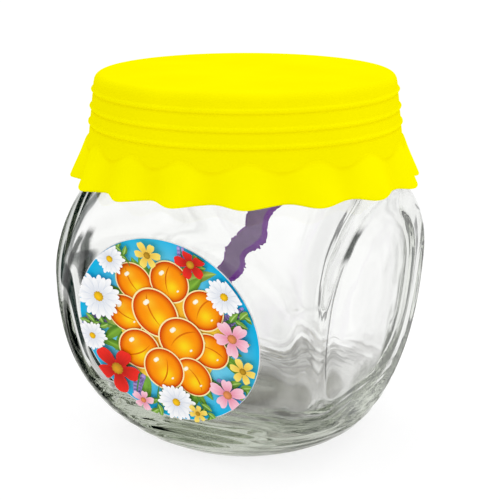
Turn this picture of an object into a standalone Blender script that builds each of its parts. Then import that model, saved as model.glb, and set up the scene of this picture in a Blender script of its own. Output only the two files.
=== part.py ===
"""Glass jar with four flat cheeks, a yellow lid moulded like a tied cloth cover, a round label and a spoon.

Run it with blender --background --python part.py, or from Blender's text editor.
Metres, +Z up. The origin is on the floor, on the axis of the jar. The label faces -Y.
"""

import math

import bpy
import bmesh
from mathutils import Vector

MM = 0.001

# The barrel of the jar: a belly, a round heel down to the bearing ring, and a shoulder up to the neck
BELLY_RADIUS = 55.0 * MM
BELLY_HEIGHT = 51.0 * MM
HEEL_DEPTH = 55.0 * MM
HEEL_ROUNDNESS = 2.3
SHOULDER_RISE = 47.0 * MM
SHOULDER_ROUNDNESS = 1.75
NECK_RADIUS = 40.5 * MM
RIM_HEIGHT = 103.4 * MM
RIM_ROUND = 1.2 * MM

# The inside of the jar
WALL = 2.8 * MM
NECK_WALL = 3.0 * MM
FLOOR_HEIGHT = 11.0 * MM
INNER_HEEL_DEPTH = 40.4 * MM
INNER_HEEL_ROUNDNESS = 3.1
INNER_SHOULDER_RISE = 45.5 * MM

# The base: a flat bearing ring round a shallow push-up
RING_WIDTH = 4.5 * MM
PUSH_UP = 2.2 * MM
PUSH_UP_STEPS = 3

# The four cheeks: each plane stands this far from the axis at CHEEK_LEVEL and leans out upwards
CHEEK_LEVEL = 41.0 * MM
CHEEK_DISTANCE = 41.7 * MM
LABEL_CHEEK_LEAN = math.radians(12.0)
SIDE_CHEEK_LEAN = math.radians(5.5)

# The label on the -Y cheek
LABEL_RADIUS = 27.4 * MM
LABEL_THICKNESS = 0.3 * MM
LABEL_HEIGHT = 41.2 * MM
LABEL_OFFSET_X = -1.8 * MM
CLEARANCE = 0.3 * MM

# The lid: a crowned top, a band with three thin beads, and a fluted skirt that flares out over the shoulder
LID_TOP = 106.3 * MM
LID_CROWN = 0.7 * MM
LID_EDGE_RADIUS = 42.3 * MM
LID_EDGE_ROUND = 2.2 * MM
LID_WALL = 1.2 * MM
LID_TOP_WALL = 1.8 * MM
LID_CORNER = 1.5 * MM
BAND_SLOPE = 0.115
BEAD_HEIGHTS = (101.3 * MM, 96.6 * MM, 92.3 * MM)
BEAD_RISE = 0.55 * MM
BEAD_HALF_WIDTH = 0.8 * MM
SKIRT_START = 88.5 * MM
SKIRT_ROWS = 6
HEM_HEIGHT = 77.3 * MM
HEM_SWAG = 0.6 * MM
HEM_RADIUS = 48.3 * MM
FLUTES = 16
FLUTE_DEPTH = 1.35 * MM
FLUTE_DIP = 0.5 * MM
SWAG_AZIMUTH = math.radians(27.0)
FIRST_CREST = math.radians(28.5)

# The spoon stands in an upright plane behind the axis; a point of its route is (across, height) in mm
SPOON_AZIMUTH = math.radians(27.0)
SPOON_BEHIND = 8.0 * MM
SPOON_ROUTE = (
    (31.0, 91.5), (25.0, 86.5), (20.3, 79.5), (15.0, 73.0), (9.4, 67.6), (4.3, 62.8), (1.9, 57.2),
    (0.4, 52.2), (-3.7, 47.4), (-8.3, 42.5), (-13.2, 36.6), (-17.6, 29.5), (-20.7, 21.5), (-22.6, 14.0),
)
HANDLE_WIDTH = 7.4 * MM
SPOON_NECK_WIDTH = 5.0 * MM
SPOON_NECK_LENGTH = 9.0 * MM
SPOON_LEAST_HALF_WIDTH = 0.8 * MM
BOWL_LENGTH = 30.0 * MM
BOWL_WIDTH = 21.0 * MM
BOWL_FULLNESS = 0.85
BOWL_DEPTH = 4.5 * MM
SPOON_THICKNESS = 1.8 * MM
SPOON_SAMPLES = 400
SPOON_STATIONS = 44
SPOON_COLUMNS = 7

JAR_SEGMENTS = 64
LID_SEGMENTS = 96
LABEL_SEGMENTS = 64
MERGE = 0.00001
CUTTER_MARGIN = 10 * MM


def clear_scene():
    for thing in list(bpy.data.objects):
        bpy.data.objects.remove(thing, do_unlink=True)


def new_collection(name):
    group = bpy.data.collections.new(name)
    bpy.context.scene.collection.children.link(group)
    return group


def material(name, colour, roughness, transmission=0.0):
    surface = bpy.data.materials.new(name)
    surface.use_nodes = True
    shader = surface.node_tree.nodes["Principled BSDF"]
    shader.inputs["Base Color"].default_value = (*colour, 1.0)
    shader.inputs["Roughness"].default_value = roughness
    shader.inputs["Metallic"].default_value = 0.0
    shader.inputs["Transmission Weight"].default_value = transmission
    return surface


def object_of(name, mesh, group):
    thing = bpy.data.objects.new(name, mesh)
    group.objects.link(thing)
    return thing


def as_helper(thing):
    thing.hide_render = True
    thing.display_type = "WIRE"


def smooth(thing, sharp_from):
    thing.data.shade_smooth()
    thing.data.set_sharp_from_angle(angle=math.radians(sharp_from))


def turned(name, profile, segments, group):
    """A closed solid turned about Z from (radius, height) points that start and end on the axis."""
    mesh = bpy.data.meshes.new(name)
    points = [(radius, 0.0, height) for radius, height in profile]
    mesh.from_pydata(points, [(i, i + 1) for i in range(len(points) - 1)], [])
    blank = object_of(name, mesh, group)
    screw = blank.modifiers.new("Turn", "SCREW")
    screw.steps = screw.render_steps = segments
    screw.use_merge_vertices = True
    screw.merge_threshold = MERGE
    graph = bpy.context.evaluated_depsgraph_get()
    blank.data = bpy.data.meshes.new_from_object(blank.evaluated_get(graph))
    blank.modifiers.clear()
    return blank


def boolean(thing, operation, other):
    cut = thing.modifiers.new(operation.title(), "BOOLEAN")
    cut.operation = operation
    cut.object = other


def superellipse(radius, rise, exponent, low, high, count):
    """Points of a quarter superellipse from the belly, from angle low to high; a negative rise goes down."""
    points = []
    for i in range(count):
        angle = low + (high - low) * i / (count - 1)
        across = radius * math.cos(angle) ** (2 / exponent)
        up = rise * math.sin(angle) ** (2 / exponent)
        points.append((across, BELLY_HEIGHT + up))
    return points


def angle_at_radius(radius, full, exponent):
    return math.acos((radius / full) ** (exponent / 2))


def angle_at_depth(depth, full, exponent):
    return math.asin((depth / full) ** (exponent / 2))


def barrel_profile():
    """The outside of the jar, from the top of the rim down to the middle of the base."""
    rim = [
        (0.0, RIM_HEIGHT),
        (NECK_RADIUS - RIM_ROUND, RIM_HEIGHT),
        (NECK_RADIUS, RIM_HEIGHT - RIM_ROUND),
    ]
    top = angle_at_radius(NECK_RADIUS, BELLY_RADIUS, SHOULDER_ROUNDNESS)
    shoulder = superellipse(BELLY_RADIUS, SHOULDER_RISE, SHOULDER_ROUNDNESS, top, 0.0, 9)
    foot = angle_at_depth(BELLY_HEIGHT, HEEL_DEPTH, HEEL_ROUNDNESS)
    heel = superellipse(BELLY_RADIUS, -HEEL_DEPTH, HEEL_ROUNDNESS, 0.0, foot, 13)[1:]
    ring_radius = heel[-1][0]
    heel[-1] = (ring_radius, 0.0)
    base = []
    for k in range(PUSH_UP_STEPS + 1):
        share = k / PUSH_UP_STEPS
        base.append(((ring_radius - RING_WIDTH) * (1 - share), PUSH_UP * math.sin(math.pi / 2 * share)))
    return rim + shoulder + heel + base


def cavity_profile():
    """The inside of the jar, from above the rim down to the middle of the floor."""
    radius = BELLY_RADIUS - WALL
    mouth = NECK_RADIUS - NECK_WALL
    top = angle_at_radius(mouth, radius, SHOULDER_ROUNDNESS)
    shoulder = superellipse(radius, INNER_SHOULDER_RISE, SHOULDER_ROUNDNESS, top, 0.0, 8)
    foot = angle_at_depth(BELLY_HEIGHT - FLOOR_HEIGHT, INNER_HEEL_DEPTH, INNER_HEEL_ROUNDNESS)
    heel = superellipse(radius, -INNER_HEEL_DEPTH, INNER_HEEL_ROUNDNESS, 0.0, foot, 10)[1:]
    above = RIM_HEIGHT + CUTTER_MARGIN
    return [(0.0, above), (mouth, above)] + shoulder + heel + [(0.0, FLOOR_HEIGHT)]


def cheek_distance(lean, height):
    """How far a cheek is from the axis at a height."""
    return CHEEK_DISTANCE + (height - CHEEK_LEVEL) * math.tan(lean)


def cheek_block(name, inset, group):
    """A tapered block whose four side planes are the cheeks, moved in by inset."""
    mesh = bpy.data.meshes.new(name)
    shape = bmesh.new()
    bmesh.ops.create_cube(shape, size=2.0)
    for corner in shape.verts:
        height = RIM_HEIGHT + 2 * CUTTER_MARGIN if corner.co.z > 0 else -CUTTER_MARGIN
        side = cheek_distance(SIDE_CHEEK_LEAN, height) - inset
        front = cheek_distance(LABEL_CHEEK_LEAN, height) - inset
        corner.co = Vector((math.copysign(side, corner.co.x), math.copysign(front, corner.co.y), height))
    shape.to_mesh(mesh)
    shape.free()
    block = object_of(name, mesh, group)
    as_helper(block)
    return block


def make_jar(parts, cutters):
    cavity = turned("cavity_blank", cavity_profile(), JAR_SEGMENTS, cutters)
    as_helper(cavity)
    boolean(cavity, "INTERSECT", cheek_block("inner_cheeks", WALL, cutters))
    jar = turned("jar", barrel_profile(), JAR_SEGMENTS, parts)
    boolean(jar, "INTERSECT", cheek_block("outer_cheeks", 0.0, cutters))
    boolean(jar, "DIFFERENCE", cavity)
    jar.data.materials.append(material("clear_glass", (0.93, 0.97, 0.95), 0.02, transmission=1.0))
    smooth(jar, 25)


def band_radius(height):
    """The outer radius of the lid's band, which widens a little downwards."""
    return LID_EDGE_RADIUS + (LID_TOP - LID_EDGE_ROUND - height) * BAND_SLOPE


def skirt_point(share, inset=0.0):
    """A point of the plain skirt, for share 0 at its start and 1 at the hem."""
    start = band_radius(SKIRT_START)
    return (start + (HEM_RADIUS - start) * share - inset, SKIRT_START + (HEM_HEIGHT - SKIRT_START) * share)


def lid_profile():
    """The lid from the middle of its top, down the outside to the hem and back up the inside."""
    flat = LID_EDGE_RADIUS - LID_EDGE_ROUND
    edge_height = LID_TOP - LID_CROWN - LID_EDGE_ROUND
    outer = [(flat * k / 3, LID_TOP - LID_CROWN * (k / 3) ** 2) for k in range(4)]
    for k in (1, 2, 3, 4):
        turn = math.pi / 2 * k / 4
        outer.append((flat + LID_EDGE_ROUND * math.sin(turn), edge_height + LID_EDGE_ROUND * math.cos(turn)))
    for height in BEAD_HEIGHTS:
        for side in (1, 0, -1):
            level = height + side * BEAD_HALF_WIDTH
            outer.append((band_radius(level) + (BEAD_RISE if side == 0 else 0.0), level))
    outer += [skirt_point(k / SKIRT_ROWS) for k in range(SKIRT_ROWS + 1)]
    inner = [skirt_point(k / SKIRT_ROWS, LID_WALL) for k in range(SKIRT_ROWS, -1, -1)]
    under = LID_TOP - LID_CROWN - LID_TOP_WALL
    corner = LID_EDGE_RADIUS - LID_WALL
    inner += [(corner, under - LID_CORNER), (corner - LID_CORNER, under), (0.0, under)]
    return outer + inner


def crest(azimuth):
    """1 on the crest of a flute, -1 in the trough between two."""
    return math.cos(FLUTES * (azimuth - FIRST_CREST))


def flute_skirt(mesh):
    """Waves the skirt in and out, dips the hem at the crests and swags it at two sides."""
    for corner in mesh.vertices:
        place = corner.co
        radius = place.xy.length
        if place.z > SKIRT_START or radius < NECK_RADIUS:
            continue
        share = (SKIRT_START - place.z) / (SKIRT_START - HEM_HEIGHT)
        azimuth = math.atan2(place.x, -place.y)
        growth = share * share * (3 - 2 * share)
        wider = 1 + FLUTE_DEPTH * crest(azimuth) * growth / radius
        swag = HEM_SWAG * math.cos(2 * (azimuth - SWAG_AZIMUTH))
        place.x *= wider
        place.y *= wider
        place.z += (swag - FLUTE_DIP * crest(azimuth)) * share


def make_lid(parts):
    lid = turned("lid", lid_profile(), LID_SEGMENTS, parts)
    flute_skirt(lid.data)
    lid.data.materials.append(material("yellow_plastic", (0.95, 0.85, 0.0), 0.4))
    smooth(lid, 40)


def make_label(parts):
    """A thin disc on the -Y cheek, CLEARANCE off the glass."""
    mesh = bpy.data.meshes.new("label")
    shape = bmesh.new()
    bmesh.ops.create_cone(
        shape,
        cap_ends=True,
        segments=LABEL_SEGMENTS,
        radius1=LABEL_RADIUS,
        radius2=LABEL_RADIUS,
        depth=LABEL_THICKNESS,
    )
    shape.to_mesh(mesh)
    shape.free()
    label = object_of("label", mesh, parts)
    lean = LABEL_CHEEK_LEAN
    outward = Vector((0.0, -math.cos(lean), -math.sin(lean)))
    on_glass = Vector((LABEL_OFFSET_X, -cheek_distance(lean, LABEL_HEIGHT), LABEL_HEIGHT))
    label.location = on_glass + outward * (CLEARANCE + LABEL_THICKNESS / 2)
    label.rotation_euler = (math.pi / 2 + lean, 0.0, 0.0)
    label.data.materials.append(material("printed_label", (0.1, 0.6, 0.8), 0.35))


def through(points, share):
    """A point on the smooth curve through all the points, for share 0 at the first and 1 at the last."""
    spans = len(points) - 1
    i = min(int(share * spans), spans - 1)
    t = share * spans - i
    before, a, b, after = points[max(i - 1, 0)], points[i], points[i + 1], points[min(i + 2, spans)]
    square = (2 * before - 5 * a + 4 * b - after) * t**2
    cube = (3 * a - before - 3 * b + after) * t**3
    return 0.5 * (2 * a + (b - before) * t + square + cube)


def spoon_half_width(travelled, total):
    """Half the width of the spoon at a distance along its route from the tip of the handle."""
    tip = max(1 - travelled / (HANDLE_WIDTH / 2), 0.0)
    handle = HANDLE_WIDTH / 2 * math.sqrt(1 - tip**2)
    to_end = total - travelled
    taper = min(max((BOWL_LENGTH + SPOON_NECK_LENGTH - to_end) / SPOON_NECK_LENGTH, 0.0), 1.0)
    stem = max(handle - (HANDLE_WIDTH - SPOON_NECK_WIDTH) / 2 * taper, SPOON_LEAST_HALF_WIDTH)
    if to_end >= BOWL_LENGTH:
        return stem
    middle = 2 * to_end / BOWL_LENGTH - 1
    bowl = BOWL_WIDTH / 2 * math.sqrt(1 - middle**2) ** BOWL_FULLNESS
    return max(bowl, stem if middle > 0 else SPOON_LEAST_HALF_WIDTH)


def measured_route():
    """Evenly sampled points along the spoon's route, and the distance travelled to each."""
    route = [Vector(point) * MM for point in SPOON_ROUTE]
    line = [through(route, k / SPOON_SAMPLES) for k in range(SPOON_SAMPLES + 1)]
    reach = [0.0]
    for a, b in zip(line, line[1:]):
        reach.append(reach[-1] + (b - a).length)
    return line, reach


def make_spoon(parts):
    """A strip that follows the wavy handle and widens into a dished bowl, thickened by Solidify."""
    line, reach = measured_route()
    total = reach[-1]
    right = Vector((math.cos(SPOON_AZIMUTH), math.sin(SPOON_AZIMUTH), 0.0))
    back = Vector((-math.sin(SPOON_AZIMUTH), math.cos(SPOON_AZIMUTH), 0.0))
    up = Vector((0.0, 0.0, 1.0))
    shape = bmesh.new()
    rows = []
    for station in range(SPOON_STATIONS + 1):
        travelled = total * station / SPOON_STATIONS
        i = min(range(len(reach)), key=lambda k: abs(reach[k] - travelled))
        along = (line[min(i + 4, SPOON_SAMPLES)] - line[max(i - 4, 0)]).normalized()
        side = Vector((-along.y, along.x))
        half = spoon_half_width(travelled, total)
        hollow = max(0.0, 1 - (2 * (total - travelled) / BOWL_LENGTH - 1) ** 2)
        row = []
        for column in range(SPOON_COLUMNS):
            across = 2 * column / (SPOON_COLUMNS - 1) - 1
            flat = line[i] + side * half * across
            deep = SPOON_BEHIND + BOWL_DEPTH * hollow * (1 - across**2)
            row.append(shape.verts.new(right * flat.x + back * deep + up * flat.y))
        rows.append(row)
    for above, below in zip(rows, rows[1:]):
        for k in range(SPOON_COLUMNS - 1):
            shape.faces.new((above[k], above[k + 1], below[k + 1], below[k]))
    mesh = bpy.data.meshes.new("spoon")
    shape.to_mesh(mesh)
    shape.free()
    spoon = object_of("spoon", mesh, parts)
    thick = spoon.modifiers.new("Thickness", "SOLIDIFY")
    thick.thickness = SPOON_THICKNESS
    thick.offset = 0.0
    spoon.data.materials.append(material("purple_plastic", (0.22, 0.12, 0.3), 0.35))
    smooth(spoon, 40)


def main():
    clear_scene()
    parts = new_collection("jar_with_spoon")
    cutters = new_collection("cutters")
    make_jar(parts, cutters)
    make_lid(parts)
    make_label(parts)
    make_spoon(parts)


main()
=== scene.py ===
"""Glass jar with spoon: its glass, lid, spoon and printed label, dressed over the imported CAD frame.

Metres, +Z up. The label faces -Y. An azimuth is measured from -Y towards +X, as seen from above.
"""

import math

import bpy
import numpy as np
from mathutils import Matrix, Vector, noise


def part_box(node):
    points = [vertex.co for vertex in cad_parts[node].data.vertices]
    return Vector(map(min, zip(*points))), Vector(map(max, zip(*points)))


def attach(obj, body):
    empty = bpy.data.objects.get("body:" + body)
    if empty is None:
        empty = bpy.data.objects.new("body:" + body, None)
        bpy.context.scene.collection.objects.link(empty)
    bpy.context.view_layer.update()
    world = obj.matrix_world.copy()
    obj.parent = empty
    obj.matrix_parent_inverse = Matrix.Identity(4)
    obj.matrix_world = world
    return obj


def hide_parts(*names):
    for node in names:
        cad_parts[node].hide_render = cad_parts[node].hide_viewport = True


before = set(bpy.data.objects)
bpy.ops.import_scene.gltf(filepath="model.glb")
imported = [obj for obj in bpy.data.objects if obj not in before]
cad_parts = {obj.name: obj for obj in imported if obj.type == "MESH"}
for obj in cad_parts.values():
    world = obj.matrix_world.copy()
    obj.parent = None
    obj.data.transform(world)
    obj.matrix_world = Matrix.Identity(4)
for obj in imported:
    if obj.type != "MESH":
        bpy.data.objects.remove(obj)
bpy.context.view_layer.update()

bl_info = {
    "name": "Glass Jar with Spoon",
    "version": (1, 0, 0),
    "blender": (4, 5, 0),
    "location": "View3D > Sidebar > Jar",
    "description": "Builds a cheeked glass jar with a cloth-style lid, a spoon and a floral label",
    "category": "Add Mesh",
}

MM = 0.001
BODY = "root"
JAR_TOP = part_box("jar")[1].z
LID_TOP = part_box("lid")[1].z
LABEL_LOW, LABEL_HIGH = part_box("label")

# The photograph: its side in pixels, and where the jar's axis crosses its middle row
PHOTO_PIXELS = 500
AXIS_PIXEL_X = 245.5

# Cheeks face these azimuths: the label's, the one behind it, and the two at the sides
LABEL_CHEEKS = (0.0, math.pi)
SIDE_CHEEKS = (math.pi / 2, -math.pi / 2)

# The spoon's rings and the points round each, and its route in its own upright plane, in mm across and up,
# from the handle's tip to the bowl's
SPOON_RINGS = 261
SPOON_AROUND = 36
SPOON_ROUTE = (
    (31.0, 91.5), (25.0, 86.5), (20.3, 79.5), (15.0, 73.0), (9.4, 67.6), (4.3, 62.8), (1.9, 57.2),
    (0.4, 52.2), (-3.7, 47.4), (-8.3, 42.5), (-13.2, 36.6), (-17.6, 29.5), (-20.7, 21.5), (-22.6, 14.0),
)

# What glass sees of the studio, by degrees above the horizon: the table low down, the backdrop and the light
# above
TABLE_TONES = (
    (-90, (0.12, 0.12, 0.11)), (-56, (0.20, 0.195, 0.19)), (-42, (0.36, 0.355, 0.345)),
    (-34, (0.42, 0.41, 0.40)), (-26, (0.93, 0.93, 0.93)), (5, (0.95, 0.95, 0.95)), (35, (0.78, 0.78, 0.79)),
    (60, (1.0, 1.0, 1.0)), (90, (1.2, 1.2, 1.2)),
)
# Dark cards round the glass, in degrees: left, right, low, high, softness, and then the tone. Left and right
# are counted from the point straight behind the jar, towards the camera's left.
CARDS = (
    (19, 50, -27, 12, 2.0, (0.006, 0.022, 0.016)), (60, 180, -70, -28, 2.0, (0.006, 0.022, 0.016)),
    (-33, -28, -44, -11, 1.0, (0.2, 0.2, 0.2)),
)
# Dark lines painted into the glass's colour in front, painted reflections of dark surroundings: the mark they
# follow (0 the edge of the label's cheek, 1 a side cheek's edge, 3 a line up the shoulder), its right or left
# side, the lowest and highest point and the half width in mm, and how dark it is. One fades out at its ends
# over
# STREAK_FADE, also in mm, and sideways and backwards over MIDDLE_FADE next to the jar's middle.
PAINTED_STREAKS = (
    (1, 1, 61.0, 70.5, 1.35, 1.0), (1, 1, 30.0, 63.0, 0.32, 0.8), (3, -1, 48.5, 66.5, 2.0, 1.0),
    (0, -1, 6.0, 55.0, 1.6, 0.9),
)
STREAK_FADE = 2.5
MIDDLE_FADE = 5 * MM
# The plane that meets the shoulder in that line: the way it faces, and its offset from the origin
SHOULDER_PLANE = ((0.819, -0.574, -0.346), 20.1 * MM)

# Heights of the three thin beads round the lid's band
BEADS = (101.3 * MM, 96.6 * MM, 92.3 * MM)
# Only points of the lid farther out than this belong to its band and skirt
BAND_INSIDE = 30 * MM

# The jar's marks: points of the push-up's hollow, and what a point far from any cheek is given
HOLLOW_POINTS = 14
FAR_OFF = 9

# How deep the label's paper sits in its place on the cheek, and the points round it
LABEL_SUNK = 0.15 * MM
LABEL_AROUND = 128

# The print, in units of the label's radius: where its edge lies, and for each fruit or flower its place, size
# and turn. A spray of leaves has its place, heading and reach.
PRINT_EDGE = 0.994
FRUIT_HEAP = (
    (-0.30, 0.50, 0.20, 2.0), (0.10, 0.56, 0.21, 1.4), (-0.44, 0.14, 0.20, 2.6), (0.44, 0.30, 0.21, 0.9),
    (0.46, -0.14, 0.19, 5.9), (-0.10, 0.20, 0.25, 1.9), (-0.34, -0.24, 0.22, 3.6), (0.16, -0.06, 0.24, 0.6),
    (0.24, -0.46, 0.20, 5.2), (-0.08, -0.42, 0.22, 4.4),
)
LEAF_SPRAYS = (
    (0.24, 0.66, 0.6, 0.36), (0.62, 0.20, 0.2, 0.34), (0.50, -0.46, -0.3, 0.38), (-0.16, -0.62, -1.9, 0.34),
    (-0.56, -0.02, 2.9, 0.30), (-0.30, 0.68, 1.9, 0.26), (0.26, -0.66, -1.2, 0.30),
)
DAISIES = (
    (-0.72, 0.30, 0.26, 0.1), (0.70, 0.50, 0.20, 0.5), (0.02, -0.78, 0.21, 0.9), (-0.52, 0.74, 0.17, 0.3),
    (-0.86, -0.16, 0.17, 0.7),
)
RED_FLOWERS = ((-0.62, -0.50, 0.27, 0.4), (0.38, 0.80, 0.17, 1.1))
PINK_FLOWERS = ((0.74, 0.06, 0.21, 0.2), (0.62, -0.58, 0.20, 0.9), (-0.36, -0.82, 0.13, 0.7))
YELLOW_FLOWERS = ((0.82, -0.28, 0.15, 0.3), (0.26, -0.86, 0.11, 0.8), (-0.08, 0.84, 0.15, 0.5))


def length(name, description, millimetres):
    return bpy.props.FloatProperty(
        name=name, description=description, default=millimetres * MM, subtype="DISTANCE", unit="LENGTH",
        precision=5,
    )


def angle(name, description, degrees):
    return bpy.props.FloatProperty(
        name=name, description=description, default=math.radians(degrees), subtype="ANGLE", unit="ROTATION"
    )


def plain(name, description, default, subtype="FACTOR"):
    return bpy.props.FloatProperty(name=name, description=description, default=default, subtype=subtype)


def colour(name, description, default):
    return bpy.props.FloatVectorProperty(
        name=name, description=description, default=default, size=3, min=0.0, max=1.0, subtype="COLOR"
    )


def count(name, description, default):
    return bpy.props.IntProperty(name=name, description=description, default=default, min=3)


class GlassSettings(bpy.types.PropertyGroup):
    belly_radius: length("Belly radius", "Outer radius of the barrel at its widest", 55.0)
    belly_height: length("Belly height", "Height of the widest ring", 51.0)
    heel_depth: length("Heel depth", "Depth of the heel's superellipse below the belly", 55.0)
    heel_roundness: plain("Heel roundness", "Exponent of the heel's superellipse", 2.3, "NONE")
    shoulder_rise: length("Shoulder rise", "Rise of the shoulder's superellipse above the belly", 47.0)
    shoulder_roundness: plain("Shoulder roundness", "Exponent of the shoulder's superellipse", 1.75, "NONE")
    neck_radius: length("Neck radius", "Outer radius of the neck", 40.5)
    wall: length("Wall", "Thickness of the glass at the cheeks", 2.8)
    neck_wall: length("Neck wall", "Thickness of the glass at the neck", 3.0)
    floor_height: length("Floor height", "Height of the floor inside", 11.0)
    inner_heel_depth: length("Inner heel depth", "Depth of the inner heel below the belly", 40.4)
    inner_heel_roundness: plain("Inner heel roundness", "Exponent of the inner heel", 3.1, "NONE")
    inner_shoulder_rise: length("Inner shoulder rise", "Rise of the inner shoulder", 45.5)
    ring_width: length("Bearing ring", "Width of the flat ring that the jar stands on", 4.5)
    push_up: length("Push-up", "Height of the hollow in the middle of the base", 2.2)
    cheek_level: length("Cheek level", "Height at which the cheeks' distance is measured", 41.0)
    cheek_distance: length("Cheek distance", "Distance of the flat cheeks from the axis", 41.7)
    label_lean: angle("Label cheek lean", "Outward lean of the label's cheek and the one behind it", 12.0)
    side_lean: angle("Side cheek lean", "Outward lean of the two side cheeks", 5.5)
    edge_softness: length("Edge softness", "Rounding of the cheeks' edges outside", 0.9)
    inner_softness: length("Inner softness", "Rounding of the cheeks' edges inside", 4.5)
    heel_softness: length("Heel softness", "Further rounding of the cheeks' edges low down", 1.5)
    ripple: length("Ripple", "Unevenness of the inner surface, as pressed glass has", 0.12)
    heel_lines: length("Heel lines", "Depth of the faint level lines round the heel", 0.12)
    floor_lines: length("Floor lines", "Depth of the faint level lines round the floor inside", 0.19)
    segments: count("Segments", "Points around the jar", 256)
    tint: colour("Tint", "Colour that thick glass takes on", (0.80, 0.82, 0.77))
    tint_density: plain("Tint density", "How fast the glass takes on its tint, per metre", 38.0, "NONE")
    stipple_tone: colour("Stipple tone", "Colour of the base, stippled underneath", (0.24, 0.235, 0.20))
    stipple_roughness: plain("Stipple roughness", "Roughness of the base", 0.15)


class LidSettings(bpy.types.PropertyGroup):
    crown: length("Crown", "Rise of the lid's top", 0.7)
    edge_radius: length("Edge radius", "Radius of the lid's top edge", 42.3)
    edge_round: length("Edge round", "Rounding of the top edge", 2.2)
    wall: length("Wall", "Thickness of the plastic", 1.2)
    top_wall: length("Top wall", "Thickness of the top", 1.8)
    band_slope: plain("Band slope", "Widening of the band, per unit of height", 0.115, "NONE")
    bead_rise: length("Bead rise", "Height of the three thin beads", 0.55)
    bead_width: length("Bead width", "Half width of a bead", 0.42)
    skirt_start: length("Skirt start", "Height at which the skirt leaves the band", 88.5)
    hem_height: length("Hem height", "Mean height of the skirt's hem", 77.3)
    hem_radius: length("Hem radius", "Mean outer radius of the hem", 48.3)
    hem_swag: length("Hem swag", "How far the hem hangs lower at two sides", 0.6)
    flutes: count("Flutes", "Number of flutes round the skirt", 16)
    flute_depth: length("Flute depth", "How far a flute stands out", 1.35)
    ledge: length("Ledge", "How far the skirt's scalloped top edge stands out from the band", 0.5)
    flute_dip: length("Flute dip", "How far the hem dips at a flute's crest", 0.35)
    swag_azimuth: angle("Swag azimuth", "Azimuth at which the hem is highest", 27.0)
    first_crest: angle("First crest", "Azimuth of one flute's crest", 28.5)
    segments: count("Segments", "Points around the lid", 384)
    plastic: colour("Plastic", "Colour of the lid", (1.0, 0.93, 0.0))
    # Painted shade: this deeper yellow is painted into the grooves under the beads, just below the skirt's
    # scallops and into the flutes' troughs, and the band below the top takes it on to look darker, all but
    # its lit bead crests.
    painted_shade_tone: colour("Fold tone", "Colour of the plastic in its folds and grooves", (0.88, 0.76, 0.0))
    band_shade: plain("Band shade", "How far the band, but not its beads, takes on the fold tone", 0.38)
    roughness: plain("Roughness", "Roughness of the lid", 0.42)


class SpoonSettings(bpy.types.PropertyGroup):
    azimuth: angle("Azimuth", "Azimuth that the spoon's upright plane faces", 27.0)
    behind: length("Behind", "Distance of that plane behind the axis", 8.0)
    handle_width: length("Handle width", "Width of the handle", 7.4)
    neck_width: length("Neck width", "Width just above the bowl", 5.0)
    neck_length: length("Neck length", "Length over which the handle narrows", 9.0)
    bowl_length: length("Bowl length", "Length of the bowl", 30.0)
    bowl_width: length("Bowl width", "Width of the bowl", 21.0)
    bowl_depth: length("Bowl depth", "Depth of the bowl", 4.5)
    thickness: length("Thickness", "Thickness of the plastic", 1.8)
    roughness: length("Rough edges", "Unevenness of the spoon's cut edges", 0.7)
    face: colour("Face", "Colour of the spoon's faces", (0.31, 0.19, 0.41))
    # Painted shade: the edge colour is painted in a band along each long edge, wide on one and thin on the
    # other, in place of the strip's shaded side; the spoon has no raised rib.
    edge: colour("Edge", "Colour of the spoon's raised edge", (0.27, 0.01, 0.50))


class LabelSettings(bpy.types.PropertyGroup):
    radius: length("Radius", "Radius of the label", 27.4)
    offset: length("Offset", "Distance of the label's middle from the cheek's, towards +X", -1.8)
    paper: length("Paper", "Thickness of the paper", 0.25)
    layer: length("Layer", "Step between layers of the print", 0.015)
    sky: colour("Sky", "Ground of the print", (0.0, 0.47, 0.80))
    amber: colour("Amber", "Colour of the fruit", (1.0, 0.28, 0.0))
    leaf: colour("Leaf", "Colour of the leaves", (0.07, 0.30, 0.03))
    red: colour("Red", "Colour of the red petals", (0.90, 0.03, 0.02))
    pink: colour("Pink", "Colour of the pink petals", (0.95, 0.30, 0.48))
    lilac: colour("Lilac", "Colour of the lilac bells", (0.35, 0.25, 0.70))


class StageSettings(bpy.types.PropertyGroup):
    azimuth: angle("Camera azimuth", "Azimuth that the camera stands at", 27.0)
    distance: length("Camera distance", "Level distance of the camera from the axis", 400.0)
    height: length("Camera height", "Height of the camera over the floor", 160.5)
    pitch: angle("Camera pitch", "How far the camera looks down", 14.95)
    focal_pixels: plain("Focal length", "Focal length in pixels of the photograph", 1432.0, "NONE")
    floor_size: length("Floor size", "Half side of the floor", 4000.0)
    floor_glow: plain("Floor glow", "Share of the floor's brightness that no shadow takes away", 0.78)
    horizon: plain("Horizon", "Brightness of the room at eye level", 0.70, "NONE")
    zenith: plain("Zenith", "Brightness of the room overhead", 1.20, "NONE")
    side_light: plain("Side light", "How much brighter the room is on the left", 0.15, "NONE")
    clouds: plain("Clouds", "Strength of the soft bright patches that the glass shows", 0.35)
    bounces: count("Bounces", "How often light may turn inside the glass", 16)


def feed(tree, socket, value):
    """Gives an input another node's output, or a plain number or colour."""
    if isinstance(value, bpy.types.NodeSocket):
        tree.links.new(value, socket)
    elif socket.type == "RGBA":
        socket.default_value = (*value, 1.0)
    else:
        socket.default_value = value


def node(tree, kind, **values):
    """Adds a shader node. A value goes to the input so named, with _ for a space, or to the node itself."""
    made = tree.nodes.new(kind)
    for name, value in values.items():
        socket = made.inputs.get(name.replace("_", " "))
        if socket is None:
            setattr(made, name, value)
        else:
            feed(tree, socket, value)
    return made


def wired(tree, kind, values, **settings):
    """Adds a shader node whose first inputs take these values in turn."""
    made = node(tree, kind, **settings)
    for socket, value in zip(made.inputs, values):
        feed(tree, socket, value)
    return made


def sums(tree, operation, *values):
    """One step of arithmetic with numbers or other nodes' outputs."""
    return wired(tree, "ShaderNodeMath", values, operation=operation).outputs[0]


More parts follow.
